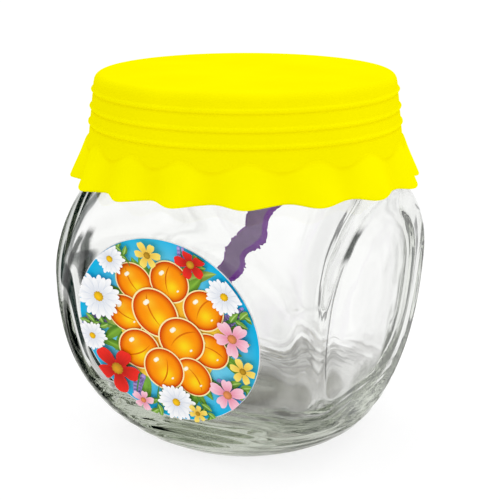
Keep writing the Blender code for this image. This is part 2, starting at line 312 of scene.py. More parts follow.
def along(tree, way, direction):
    """How far a vector reaches in a direction."""
    return wired(tree, "ShaderNodeVectorMath", (way, direction), operation="DOT_PRODUCT").outputs["Value"]


def smooth_step(tree, value, low, high):
    """Goes softly from 0 at low to 1 at high."""
    return wired(tree, "ShaderNodeMapRange", (value, low, high), interpolation_type="SMOOTHSTEP").outputs[0]


def blended(tree, share, low, high):
    """Goes from one colour to another as a share goes from 0 to 1."""
    made = node(tree, "ShaderNodeMix", data_type="RGBA")
    for socket, value in zip((made.inputs[0], made.inputs[6], made.inputs[7]), (share, low, high)):
        feed(tree, socket, value)
    return made.outputs[2]


def ramp(tree, factor, stops):
    """A colour ramp over factor, from (position, colour) stops."""
    made = node(tree, "ShaderNodeValToRGB", Fac=factor)
    elements = made.color_ramp.elements
    while len(elements) < len(stops):
        elements.new(0.5)
    for element, (position, tone) in zip(elements, stops):
        element.position = position
        element.color = (*tone, 1.0)
    return made.outputs["Color"]


def new_material(name):
    surface = bpy.data.materials.new(name)
    surface.use_nodes = True
    return surface, surface.node_tree, surface.node_tree.nodes["Principled BSDF"]


def dress(tree, shader, **values):
    """Feeds the shader's inputs of these names, with _ for a space."""
    for name, value in values.items():
        feed(tree, shader.inputs[name.replace("_", " ")], value)


def mesh_object(name, points, faces, smooth=True):
    mesh = bpy.data.meshes.new(name)
    mesh.from_pydata([tuple(p) for p in points], [], faces)
    mesh.validate()
    if smooth:
        mesh.shade_smooth()
    thing = bpy.data.objects.new(name, mesh)
    bpy.context.scene.collection.objects.link(thing)
    return thing


def ring_faces(rows, segments, first=0):
    """Quads between neighbouring rings of points, facing out where the rings climb."""
    faces = []
    for i in range(rows - 1):
        low, high = first + i * segments, first + (i + 1) * segments
        for j in range(segments):
            k = (j + 1) % segments
            faces.append((low + j, low + k, high + k, high + j))
    return faces


def capped_faces(rows, segments):
    """The quads between rings, with a flat end on the first ring and on the last."""
    last = (rows - 1) * segments
    ends = [tuple(range(segments))[::-1], tuple(range(last, last + segments))]
    return ring_faces(rows, segments) + ends


def turned_object(name, rings, bottom, top):
    """A closed surface through rings of points, closed by a pole before the first and after the last."""
    rows, segments = rings.shape[:2]
    points = [bottom, *rings.reshape(-1, 3), top]
    faces = ring_faces(rows, segments, first=1)
    last = 1 + (rows - 1) * segments
    for j in range(segments):
        k = (j + 1) % segments
        faces.append((0, 1 + k, 1 + j))
        faces.append((len(points) - 1, last + j, last + k))
    return mesh_object(name, points, faces)


def stretch(radius, height):
    """(radius, height) points from two arrays, or from an array and a number."""
    return np.stack(np.broadcast_arrays(radius, height), 1)


def superellipse(radius, rise, exponent, middle, low, high, steps):
    """(radius, height) points on a quarter superellipse over the belly; a negative rise goes down."""
    turn = np.linspace(low, high, steps)
    across = radius * np.cos(turn).clip(0) ** (2 / exponent)
    up = rise * np.sin(turn).clip(0) ** (2 / exponent)
    return stretch(across, middle + up)


def directions(segments):
    azimuth = np.arange(segments) / segments * 2 * math.pi
    return azimuth, np.sin(azimuth), -np.cos(azimuth)


def soft_least(values, softness):
    """The least of several arrays, rounded where two are alike."""
    return -softness * np.log(sum(np.exp(-value / softness) for value in values))


def cheeked(profile, inset, softness, glass):
    """Rings of points on a turned profile that the four cheeks cut flat, and how far in mm each point's
    cheeks, the label's and the side's, lie outside the barrel."""
    azimuth, east, south = directions(glass.segments)
    radius = np.repeat(profile[:, :1], glass.segments, 1)
    height = np.repeat(profile[:, 1:], glass.segments, 1)
    heel_reach = 14 * MM
    softness = softness + glass.heel_softness * np.exp(-((height / heel_reach) ** 2))
    cheeks = [(facing, glass.label_lean) for facing in LABEL_CHEEKS]
    cheeks += [(facing, glass.side_lean) for facing in SIDE_CHEEKS]
    limits = [radius]
    for facing, lean in cheeks:
        level = glass.cheek_distance - inset + (height - glass.cheek_level) * math.tan(lean)
        toward = np.cos(azimuth - facing)[None, :].clip(0.2)
        limits.append(level / toward)
    over = [np.minimum(limits[1], limits[2]) - radius, np.minimum(limits[3], limits[4]) - radius]
    radius = soft_least(limits, softness)
    return np.stack([radius * east, radius * south, height], -1), np.stack(over, -1) / MM


def outer_profile(glass):
    """The outside of the jar from the push-up to the top of the rim."""
    foot = math.asin((glass.belly_height / glass.heel_depth) ** (glass.heel_roundness / 2))
    heel = superellipse(
        glass.belly_radius, -glass.heel_depth, glass.heel_roundness, glass.belly_height, foot, 0.0, 60
    )
    ring = heel[0, 0]
    inner_ring = ring - glass.ring_width
    share = np.linspace(0.04, 1.0, HOLLOW_POINTS)
    hollow = stretch(inner_ring * share, glass.push_up * np.cos(share * math.pi / 2) ** 1.2)
    flat = stretch(np.linspace(inner_ring, ring, 5)[1:], 0.0)
    top = math.acos((glass.neck_radius / glass.belly_radius) ** (glass.shoulder_roundness / 2))
    shoulder = superellipse(
        glass.belly_radius, glass.shoulder_rise, glass.shoulder_roundness, glass.belly_height, 0.0, top, 36
    )
    rim_round = 1.2 * MM
    neck_top = JAR_TOP - rim_round
    neck = stretch(glass.neck_radius, np.linspace(shoulder[-1, 1], neck_top, 14)[1:])
    turn = np.linspace(0, math.pi / 2, 7)[1:]
    rim = stretch(glass.neck_radius - rim_round * (1 - np.cos(turn)), neck_top + rim_round * np.sin(turn))
    return np.concatenate([hollow, flat, heel[1:], shoulder[1:], neck, rim])


def inner_profile(glass):
    """The inside of the jar from the top of the rim to the middle of the floor."""
    radius = glass.belly_radius - glass.wall
    mouth = glass.neck_radius - glass.neck_wall
    top = math.acos((mouth / radius) ** (glass.shoulder_roundness / 2))
    shoulder = superellipse(
        radius, glass.inner_shoulder_rise, glass.shoulder_roundness, glass.belly_height, top, 0.0, 30
    )
    depth = glass.belly_height - glass.floor_height
    foot = math.asin((depth / glass.inner_heel_depth) ** (glass.inner_heel_roundness / 2))
    heel = superellipse(
        radius, -glass.inner_heel_depth, glass.inner_heel_roundness, glass.belly_height, 0.0, foot, 56
    )
    rim_round = 1.0 * MM
    turn = np.linspace(math.pi / 2, 0, 6)
    rim = stretch(mouth + rim_round * (1 - np.cos(turn)), JAR_TOP - rim_round * (1 - np.sin(turn)))
    neck = stretch(mouth, np.linspace(JAR_TOP - rim_round, shoulder[0, 1], 12)[1:-1])
    floor = stretch(heel[-1, 0] * np.linspace(1.0, 0.06, 12)[1:], glass.floor_height)
    return np.concatenate([rim, neck, shoulder, heel[1:], floor])


def rippled(rings, amount):
    """Moves points a little in and out by smooth noise, as the inside of a pressed jar is uneven."""
    waves_per_metre, least_radius = 70.0, 20 * MM
    for point in rings.reshape(-1, 3):
        place = Vector(point) * waves_per_metre
        wave = noise.noise(place) + 0.5 * noise.noise(place * 2.3)
        point[:2] *= 1 + amount * wave / max(math.hypot(point[0], point[1]), least_radius)
    return rings


def lined(rings, amount, bottom, top):
    """Moves points a little in and out in level, wandering lines between two heights."""
    coarse, fine = 0.42 * MM, 0.23 * MM
    fade_in, fade_out = 2 * MM, 6 * MM
    x, y, z = rings[..., 0], rings[..., 1], rings[..., 2]
    turn = np.arctan2(y, x)
    wander = 0.9 * np.sin(2 * turn + 0.5) + 0.6 * np.sin(5 * turn) + 0.3 * np.sin(9 * turn + 2)
    wave = np.sin(z / coarse + wander) + 0.7 * np.sin(z / fine - 1.7 * wander)
    fade = ((z - bottom) / fade_in).clip(0, 1) * ((top - z) / fade_out).clip(0, 1)
    rings[..., :2] *= (1 + amount * wave * fade / np.hypot(x, y).clip(10 * MM))[..., None]
    return rings


def glass_body(glass):
    """The jar as one closed surface. Its marks hold, for each point, how far in mm the label's and the side's
    cheek lie outside the barrel, and how far the point belongs to the stippled base."""
    outside, over = cheeked(outer_profile(glass), 0.0, glass.edge_softness, glass)
    inside = cheeked(inner_profile(glass), glass.wall, glass.inner_softness, glass)[0]
    inside = rippled(inside, glass.ripple)
    outside = lined(outside, glass.heel_lines, 1 * MM, 18 * MM)
    inside = lined(inside, glass.floor_lines, glass.floor_height + 0.1 * MM, 23 * MM)
    stipple_fade = 0.5 * MM
    under = np.exp(-((outside[..., 2] / stipple_fade) ** 2))
    under[:HOLLOW_POINTS] = 1.0
    floor = np.exp(-(((inside[..., 2] - glass.floor_height) / stipple_fade) ** 2))
    jar = turned_object(
        "jar_glass", np.concatenate([outside, inside]), (0, 0, glass.push_up), (0, 0, glass.floor_height)
    )
    pole = [[FAR_OFF, FAR_OFF, 1]]
    far = np.full_like(floor, FAR_OFF)
    outer_marks = np.stack([over[..., 0], over[..., 1], under], -1).reshape(-1, 3)
    inner_marks = np.stack([far, far, floor], -1).reshape(-1, 3)
    marks = np.concatenate([pole, outer_marks, inner_marks, pole])
    layer = jar.data.attributes.new("Marks", "FLOAT_VECTOR", "POINT")
    layer.data.foreach_set("vector", marks.astype(np.float32).ravel())
    return jar


def painted_streaks(tree, marks):
    """How dark the painted reflections on the cheeks' edges and the shoulder are, from 0 to 1."""
    place = node(tree, "ShaderNodeTexCoord").outputs["Object"]
    where = node(tree, "ShaderNodeSeparateXYZ", Vector=place).outputs
    uneven = node(tree, "ShaderNodeTexNoise", Vector=place, Scale=260.0, Detail=2.0).outputs["Fac"]
    front = smooth_step(tree, where[1], 0.0, -MIDDLE_FADE)
    facing, behind = SHOULDER_PLANE
    line = sums(tree, "ADD", along(tree, place, facing), behind)
    marks = [*marks, sums(tree, "DIVIDE", line, MM)]
    total = 0.0
    for mark, side, low, high, half_width, depth in PAINTED_STREAKS:
        off = sums(tree, "ABSOLUTE", marks[mark])
        off = sums(tree, "ADD", off, sums(tree, "MULTIPLY", uneven, 0.6 * half_width))
        share = smooth_step(tree, off, 1.3 * half_width, 0.7 * half_width)
        for value, first, second in (
            (where[2], low * MM, (low + STREAK_FADE) * MM),
            (where[2], high * MM, (high - STREAK_FADE) * MM),
            (where[0], 0.0, side * MIDDLE_FADE),
        ):
            share = sums(tree, "MULTIPLY", share, smooth_step(tree, value, first, second))
        total = sums(tree, "MAXIMUM", total, sums(tree, "MULTIPLY", share, depth))
    return sums(tree, "MULTIPLY", total, front)


def clear_glass(glass):
    """Clear glass with a faint grey-green body, painted dark reflections on its edges and a greyer, stippled
    base.
    """
    surface, tree, shader = new_material("clear_glass")
    marks = node(tree, "ShaderNodeAttribute", attribute_name="Marks").outputs["Vector"]
    marks = node(tree, "ShaderNodeSeparateXYZ", Vector=marks).outputs
    tone = blended(tree, marks[2], (1.0, 1.0, 1.0), glass.stipple_tone)
    # Painted reflections: the glass's colour goes nearly black along the cheeks' edges and the shoulder.
    tone = blended(tree, painted_streaks(tree, marks), tone, (0.01, 0.012, 0.01))
    rough = sums(tree, "MULTIPLY", marks[2], glass.stipple_roughness)
    dress(tree, shader, Base_Color=tone, Roughness=rough, IOR=1.5, Transmission_Weight=1.0)
    absorb = node(tree, "ShaderNodeVolumeAbsorption", Density=glass.tint_density, Color=glass.tint)
    tree.links.new(absorb.outputs["Volume"], tree.nodes["Material Output"].inputs["Volume"])
    return surface


class JAR_OT_glass(bpy.types.Operator):
    """Builds the glass jar, outside and inside, as one closed surface"""

    bl_idname = "jar_with_spoon.glass"
    bl_label = "Glass"

    def execute(self, context):
        glass = context.scene.jar_glass
        jar = glass_body(glass)
        jar.data.materials.append(clear_glass(glass))
        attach(jar, BODY)
        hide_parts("jar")
        return {"FINISHED"}


def band_radius(height, lid):
    return lid.edge_radius + (LID_TOP - lid.edge_round - height) * lid.band_slope


def underside(lid):
    """Height of the lid's top seen from below."""
    return LID_TOP - lid.crown - lid.top_wall


def groove_at(height, bead):
    """How deep in the thin groove under a bead a height lies, from 0 to 1."""
    return np.exp(-(((height - bead + 1.0 * MM) / (0.35 * MM)) ** 2))


def lid_rows(lid):
    """The lid's plain profile from its top down the outside, round the hem and up the inside."""
    flat = lid.edge_radius - lid.edge_round
    share = np.linspace(0.05, 1.0, 14)
    top = stretch(flat * share, LID_TOP - lid.crown * share**2)
    turn = np.linspace(0, math.pi / 2, 16)[1:]
    edge_height = LID_TOP - lid.crown - lid.edge_round
    edge = stretch(flat + lid.edge_round * np.sin(turn), edge_height + lid.edge_round * np.cos(turn))
    band_end = lid.skirt_start + 2 * MM
    fall = np.linspace(edge_height, band_end, 62)[1:]
    band = stretch(band_radius(fall, lid), fall)
    for bead in BEADS:
        band[:, 0] += lid.bead_rise * np.exp(-(((fall - bead) / lid.bead_width) ** 2))
        band[:, 0] -= 0.6 * lid.bead_rise * groove_at(fall, bead)
    start = band_radius(lid.skirt_start, lid)
    drop = np.linspace(band_end, lid.hem_height, 60)[1:]
    part = ((lid.skirt_start - drop) / (lid.skirt_start - lid.hem_height)).clip(0)
    skirt_radius = np.where(part > 0, start + (lid.hem_radius - start) * part**1.3, band_radius(drop, lid))
    skirt = stretch(skirt_radius, drop)
    turn = np.linspace(0, math.pi, 7)[1:-1]
    half = lid.wall / 2
    lip = stretch(lid.hem_radius - half + half * np.cos(turn), lid.hem_height - half * np.sin(turn))
    inner_skirt = skirt[::-2] - np.array([lid.wall, 0.0])
    rise = np.linspace(lid.skirt_start + 3 * MM, edge_height, 8)
    inner_band = stretch(band_radius(rise, lid) - lid.wall, rise)
    below = stretch((lid.edge_radius - lid.wall) * np.linspace(0.97, 0.05, 12), underside(lid))
    return np.concatenate([top, edge, band, skirt, lip, inner_skirt, inner_band, below])


def fluted(rings, lid):
    """Waves the skirt in and out from a scalloped line under the last bead. Also gives each point's painted
    shade: how far its colour darkens in the grooves, below the scallops, in the troughs and on the band.
    """
    azimuth, east, south = directions(lid.segments)
    place = azimuth[None, :]
    turn = lid.flutes * (place - lid.first_crest) + 0.35 * np.sin(3 * place) + 0.2 * np.sin(5 * place + 1)
    crest = np.cos(turn)
    strength = 1 + 0.12 * np.sin(7 * place + 2)
    height = rings[..., 2]
    radius = np.hypot(rings[..., 0], rings[..., 1])
    outside = radius > BAND_INSIDE
    scallops = lid.skirt_start - 1.6 * MM + 1.3 * MM * crest
    below = (scallops - height).clip(0) * outside
    share = ((lid.skirt_start - height) / (lid.skirt_start - lid.hem_height)).clip(0, 1.1) * outside
    full = share.clip(0, 1)
    puff = 0.32 * (1 - np.exp(-below / (1.1 * MM))) + 0.68 * share**2 * (3 - 2 * full)
    ledge = lid.ledge * (0.6 + 0.4 * crest) * (1 - np.exp(-below / (0.45 * MM))) * (1 - 0.7 * full)
    radius = radius + lid.flute_depth * crest * strength * puff + ledge
    swag = lid.hem_swag * np.cos(2 * (place - lid.swag_azimuth))
    dip = lid.flute_dip * (crest + 0.25 * np.cos(2 * turn + 1.2))

    # Painted shade: darker in the grooves under the beads, just below the scallops and in the flutes'
    # troughs, and on the band, whose bead crests stay lit.
    painted_shade = 0.7 * sum(groove_at(height, bead) for bead in BEADS) * (radius > lid.edge_radius - 0.5 * MM)
    hollow = 0.5 - 0.5 * crest
    shadow = np.exp(-(((below - 0.3 * MM) / (0.7 * MM)) ** 2)) * (below > 0)
    painted_shade = painted_shade + shadow * (0.25 + 0.5 * hollow) + 0.25 * hollow**2 * (below > 0) * (1 - shadow)
    crests = sum(np.exp(-(((height - bead - 0.1 * MM) / (0.4 * MM)) ** 2)) for bead in BEADS).clip(0, 1)
    outside = radius > BAND_INSIDE
    band = ((LID_TOP - lid.crown - height) / lid.edge_round).clip(0, 1) * (below <= 0) * outside
    painted_shade = np.maximum(painted_shade, lid.band_shade * band * (1 - crests))
    height = height + (swag - dip) * share
    return np.stack([radius * east, radius * south, height], -1), painted_shade


def lid_plastic(lid):
    """Matt yellow plastic with a faint mould texture, and painted shade in its grooves, troughs and band."""
    surface, tree, shader = new_material("yellow_plastic")
    place = node(tree, "ShaderNodeTexCoord").outputs["Object"]
    mottle = node(tree, "ShaderNodeTexNoise", Vector=place, Scale=45.0, Detail=3.0).outputs["Fac"]
    deep = tuple(channel * 0.96 for channel in lid.plastic)
    tone = ramp(tree, mottle, [(0.35, deep), (0.65, lid.plastic)])
    # Painted shade: the stored darkening pulls the colour towards the deeper yellow.
    painted_shades = node(tree, "ShaderNodeAttribute", attribute_name="PaintedShade").outputs["Fac"]
    tone = blended(tree, painted_shades, tone, lid.painted_shade_tone)
    grain = node(tree, "ShaderNodeTexNoise", Vector=place, Scale=900.0, Detail=2.0).outputs["Fac"]
    bump = node(tree, "ShaderNodeBump", Height=grain, Strength=0.05, Distance=0.3 * MM).outputs["Normal"]
    dress(tree, shader, Base_Color=tone, Normal=bump, Roughness=lid.roughness, Specular_IOR_Level=0.0)
    return surface


class JAR_OT_lid(bpy.types.Operator):
    """Builds the lid: crowned top, beaded band and fluted skirt"""

    bl_idname = "jar_with_spoon.lid"
    bl_label = "Lid"

    def execute(self, context):
        lid = context.scene.jar_lid
        rows = lid_rows(lid)[::-1]
        east, south = directions(lid.segments)[1:]
        heights = np.repeat(rows[:, 1:], lid.segments, 1)
        rings = np.stack([rows[:, :1] * east[None, :], rows[:, :1] * south[None, :], heights], -1)
        rings, painted_shade = fluted(rings, lid)
        cover = turned_object("lid_cover", rings, (0, 0, underside(lid)), (0, 0, LID_TOP))
        # Stores the painted shade on each point.
        painted_shades = cover.data.attributes.new("PaintedShade", "FLOAT", "POINT")
        painted_shades.data.foreach_set("value", np.concatenate([[0], painted_shade.ravel(), [0]]).astype(np.float32))
        cover.data.materials.append(lid_plastic(lid))
        # The thick base would mirror the dark underside as a large olive patch, which the photograph lacks.
        cover.visible_transmission = False
        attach(cover, BODY)
        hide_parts("lid")
        return {"FINISHED"}


def through(points, share):
    """A point on the smooth curve through all the points, for share 0 at the first and 1 at the last."""
    spans = len(points) - 1
    i = min(int(share * spans), spans - 1)
    t = share * spans - i
    before, a, b, after = points[max(i - 1, 0)], points[i], points[i + 1], points[min(i + 2, spans)]
    square = (2 * before - 5 * a + 4 * b - after) * t**2
    cube = (3 * a - before - 3 * b + after) * t**3
    return 0.5 * (2 * a + (b - before) * t + square + cube)


def spoon_half_width(travelled, total, spoon):
    """Half the spoon's width on its way from the round tip of the handle to the end of the oval bowl."""
    least = 0.3 * MM
    tip = max(1 - travelled / (spoon.handle_width / 2), 0.0)
    handle = spoon.handle_width / 2 * math.sqrt(1 - tip**2)
    to_end = total - travelled
    taper = min(max((spoon.bowl_length + spoon.neck_length - to_end) / spoon.neck_length, 0.0), 1.0)
    stem = max(handle - (spoon.handle_width - spoon.neck_width) / 2 * taper, least)
    if to_end >= spoon.bowl_length:
        return stem
    middle = 2 * to_end / spoon.bowl_length - 1
    bowl = spoon.bowl_width / 2 * math.sqrt(max(1 - middle**2, 0.0)) ** 0.85
    return max(bowl, stem if middle > 0 else least)


def squared(value):
    """A cosine or sine pushed towards -1 or 1, which makes a round section nearly square."""
    return math.copysign(abs(value) ** 0.5, value)


def spoon_body(spoon):
    """Rings of points along the spoon's route, and for each point how far along and across it lies."""
    samples = 800
    edge_waves = 700
    route = [Vector(point) * MM for point in SPOON_ROUTE]
    line = [through(route, k / samples) for k in range(samples + 1)]
    reach = np.concatenate([[0.0], np.cumsum([(b - a).length for a, b in zip(line, line[1:])])])
    total = reach[-1]
    right = Vector((math.cos(spoon.azimuth), math.sin(spoon.azimuth), 0.0))
    back = Vector((-math.sin(spoon.azimuth), math.cos(spoon.azimuth), 0.0))
    up = Vector((0.0, 0.0, 1.0))
    points, marks = [], []
    for ring in range(SPOON_RINGS):
        travelled = total * (0.5 - 0.5 * math.cos(math.pi * ring / (SPOON_RINGS - 1)))
        i = int(np.abs(reach - travelled).argmin())
        heading = (line[min(i + 8, samples)] - line[max(i - 8, 0)]).normalized()
        side = Vector((-heading.y, heading.x))
        half = spoon_half_width(travelled, total, spoon)
        hollow = max(0.0, 1 - (2 * (total - travelled) / spoon.bowl_length - 1) ** 2)
        thin = spoon.thickness / 2 * min(1.0, 0.35 + half / (2 * MM) * 0.65)
        for k in range(SPOON_AROUND):
            turn = 2 * math.pi * k / SPOON_AROUND
            across = squared(math.cos(turn))
            where = Vector((travelled * edge_waves, math.copysign(5, across), 0.0))
            cut = spoon.roughness * noise.noise(where) * abs(across) ** 3
            flat = line[i] + side * (half * across + cut)
            deep = squared(math.sin(turn)) * thin
            depth = spoon.behind + spoon.bowl_depth * hollow * (1 - across**2) + deep
            points.append(right * flat.x + back * depth + up * flat.y)
            marks.append((travelled / total, 0.5 - 0.5 * across))
    return points, marks


def spoon_plastic(spoon):
    """Purple plastic, greyer on its faces, with painted shade: a deeper purple painted along both long edges
    in place of the strip's shaded side.
    """
    surface, tree, shader = new_material("purple_plastic")
    across = node(tree, "ShaderNodeSeparateXYZ", Vector=node(tree, "ShaderNodeUVMap").outputs["UV"])
    place = node(tree, "ShaderNodeTexCoord").outputs["Object"]
    streak = node(tree, "ShaderNodeTexNoise", Vector=place, Scale=220.0, Detail=3.0).outputs["Fac"]
    tone = ramp(tree, streak, [(0.3, spoon.face), (0.7, tuple(c * 1.25 for c in spoon.face))])
    white, black = (1.0, 1.0, 1.0), (0.0, 0.0, 0.0)
    # Painted shade along the long edges, wide on one side and thin on the other.
    edges = ramp(tree, across.outputs["Y"], [(0.22, white), (0.30, black), (0.93, black), (1.0, white)])
    dress(tree, shader, Base_Color=blended(tree, edges, tone, spoon.edge), Roughness=0.3)
    return surface


class JAR_OT_spoon(bpy.types.Operator):
    """Builds the wavy spoon that stands in the jar"""

    bl_idname = "jar_with_spoon.spoon"
    bl_label = "Spoon"

    def execute(self, context):
        spoon = context.scene.jar_spoon
        points, marks = spoon_body(spoon)
        thing = mesh_object("spoon_purple", points, capped_faces(SPOON_RINGS, SPOON_AROUND))
        layer = thing.data.uv_layers.new(name="UVMap")
        for loop in thing.data.loops:
            layer.data[loop.index].uv = marks[loop.vertex_index]
        thing.data.materials.append(spoon_plastic(spoon))
        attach(thing, BODY)
        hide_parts("spoon")
        return {"FINISHED"}


def shade(low, high, share):
    """Colours between low and high, for an array of shares."""
    share = np.asarray(share, float).clip(0, 1)[..., None]
    return np.asarray(low, float) * (1 - share) + np.asarray(high, float) * share


def polar(reach, turn, start=(0.0, 0.0)):
    """The place at a reach and a turn from a start."""
    return start[0] + reach * math.cos(turn), start[1] + reach * math.sin(turn)


class Print:
    """Gathers flat coloured shapes in units of the label's radius, each a layer above the one before."""

    def __init__(self):
        self.points, self.faces, self.tones, self.level = [], [], [], 0

    def add(self, across, up, tones, closed, rise=1):
        """A grid of points with their colours; closed joins its last column to its first."""
        self.level += rise
        rows, columns = across.shape
        first = len(self.points)
        beyond = np.hypot(across, up).clip(PRINT_EDGE) / PRINT_EDGE
        for x, y, tone in zip((across / beyond).flat, (up / beyond).flat, tones.reshape(-1, 3)):
            self.points.append((x, y, self.level))
            self.tones.append(tuple(tone))
        for i in range(rows - 1):
            for j in range(columns if closed else columns - 1):
                k = (j + 1) % columns
                a, b = first + i * columns, first + (i + 1) * columns
                self.faces.append((a + j, b + j, b + k, a + k))

    def disc(self, place, outline, tone, rings=6, steps=48, rise=1):
        """A shape round a place; outline gives its reach at each turn, tone its colour at (share, turn)."""
        turn = np.arange(steps) / steps * 2 * math.pi
        share = np.linspace(0.002, 1.0, rings)[:, None]
        reach = outline(turn)[None, :] * share
        tones = tone(share + 0 * turn, turn + 0 * share)
        self.add(place[0] + reach * np.cos(turn), place[1] + reach * np.sin(turn), tones, True, rise)

    def strip(self, start, heading, reach, width, low, high, bend=0.0, fullness=0.8, rise=1):
        """A leaf or stem from a place, bending as it goes, light along its middle."""
        t = np.linspace(0, 1, 12)[:, None]
        s = np.array([-1.0, -0.5, 0.0, 0.5, 1.0])[None, :]
        way = heading + bend * t
        half = width / 2 * np.sin(math.pi * t**0.8).clip(0.02) ** fullness
        x = start[0] + reach * t * np.cos(heading + bend * t / 2) - half * s * np.sin(way)
        y = start[1] + reach * t * np.sin(heading + bend * t / 2) + half * s * np.cos(way)
        tones = shade(low, high, 0.15 + 0.35 * t + 0.5 * (s > 0) * (1 - t) + 0.5 * (s == 0))
        self.add(x, y, tones, False, rise)


def blossom(art, place, size, petals, notch, deep, pale, heart, turned=0.0):
    """An open flower seen from the front, with its heart."""

    def phase(turn):
        return ((turn - turned) * petals / (2 * math.pi)) % 1 - 0.5

    def outline(turn):
        at = phase(turn)
        round_tip = np.cos(math.pi * at).clip(0.02) ** 0.42
        cleft = 1 - notch * np.exp(-((at / 0.10) ** 2))
        wobble = 1 + 0.06 * np.sin(petals * turn * 0.5 + 1.3) + 0.04 * np.sin(3 * turn)
        return size * round_tip * cleft * wobble

    def tone(share, turn):
        at = phase(turn)
        vein = 0.5 + 0.5 * np.cos(12 * math.pi * at)
        return shade(deep, pale, share**0.8 * (1 - 1.5 * at**2) * (0.86 + 0.14 * vein) + 0.12 * share)

    art.disc(place, outline, tone, rings=7, steps=petals * 14)
    rim = np.asarray(heart) * 0.55
    art.disc(
        place, lambda turn: size * 0.24 * (1 + 0.08 * np.sin(11 * turn)),
        lambda share, turn: shade(heart, rim, share**2 + 0.25 * np.sin(turn + 0.8)), rings=4, steps=33,
    )


def daisy(art, place, size, turned):
    """A white flower of many narrow petals in two rows."""
    white, heart = (1.0, 1.0, 1.0), (1.0, 0.58, 0.01)
    for offset, reach, deep in ((0.0, 1.0, (0.40, 0.50, 0.68)), (0.26, 0.88, (0.58, 0.64, 0.76))):
        blossom(art, place, size * reach, 12, 0.0, deep, white, heart, turned + offset)


def fruit(art, place, size, turned, label):
    """A round fruit with a glowing lower side, a crease, a glint and a pale outline."""
    amber = np.asarray(label.amber)

    def outline(turn):
        return size * (1 + 0.03 * np.cos(2 * (turn - turned)))

    def tone(share, turn):
        x, y = share * np.cos(turn), share * np.sin(turn)
        inward = 1 - share**3
        low = shade((0.60, 0.02, 0.0), amber, 1.5 * inward)
        glow = np.exp(-((x - 0.12) ** 2 + (y + 0.30) ** 2) / 0.16)
        top = np.exp(-((x + 0.25) ** 2 + (y - 0.45) ** 2) / 0.10)
        low = shade(low, (1.0, 0.72, 0.01), 0.95 * glow * inward)
        return shade(low, (1.0, 0.60, 0.03), 0.8 * top * inward)

    def halo(share, turn):
        return shade((1.0, 0.70, 0.10), (1.0, 0.86, 0.42), share + 0 * turn)

    art.disc(place, lambda turn: 1.07 * outline(turn), halo, rings=3)
    art.disc(place, outline, tone, rings=12)
    art.strip(
        polar(size * 0.86, turned, place), turned + math.pi - 0.5, size * 1.5, size * 0.07,
        (0.55, 0.06, 0.0), (0.9, 0.25, 0.0), bend=1.0,
    )
    for across, up, reach in ((-0.34, 0.42, 0.13), (0.40, -0.42, 0.06)):
        art.disc(
            (place[0] + across * size, place[1] + up * size),
            lambda turn: size * reach * (1 + 0.3 * np.cos(2 * (turn - 0.7))),
            lambda share, turn: shade((1.0, 1.0, 0.95), (1.0, 0.85, 0.5), share**2),
            rings=4, steps=20, rise=0.5,
        )


def leaves(art, place, heading, reach):
    """A small spray of veined leaves on one stem."""
    art.strip(place, heading, reach, 0.02, (0.03, 0.16, 0.02), (0.12, 0.34, 0.05), bend=0.4, rise=0.3)
    blade = (0.42 * reach, 0.21 * reach, (0.02, 0.13, 0.02), (0.34, 0.60, 0.08))
    vein = (0.38 * reach, 0.012, (0.30, 0.55, 0.12), (0.55, 0.75, 0.25))
    for k, turn in enumerate((0.9, -0.9, 0.7, -0.7, 0.1)):
        out = reach * (0.35 + 0.17 * k)
        start = polar(out, heading + 0.2 * out / reach, place)
        for stroke, rise in ((blade, 0.2), (vein, 0.1)):
            art.strip(start, heading + turn, *stroke, bend=-0.5 * turn, rise=rise)


def sprig(art, place, heading, reach, label):
    """A stem with small bells in pairs."""
    art.strip(place, heading, reach, 0.022, (0.05, 0.22, 0.05), (0.15, 0.42, 0.10), bend=0.3, rise=0.5)
    for k in range(7):
        climbed = reach * (0.35 + 0.10 * k)
        way = heading + 0.3 * climbed / reach / 2
        bell = 0.034 * (1.15 - 0.08 * k)
        x, y = polar(climbed, way, place)
        for side in (-1, 1):
            art.disc(
                (x - side * bell * math.sin(way), y + side * bell * math.cos(way)),
                lambda turn: bell * (1 + 0.25 * np.cos(2 * (turn - way))),
                lambda share, turn: shade((0.62, 0.50, 0.90), label.lilac, share),
                rings=3, steps=12, rise=0.0,
            )


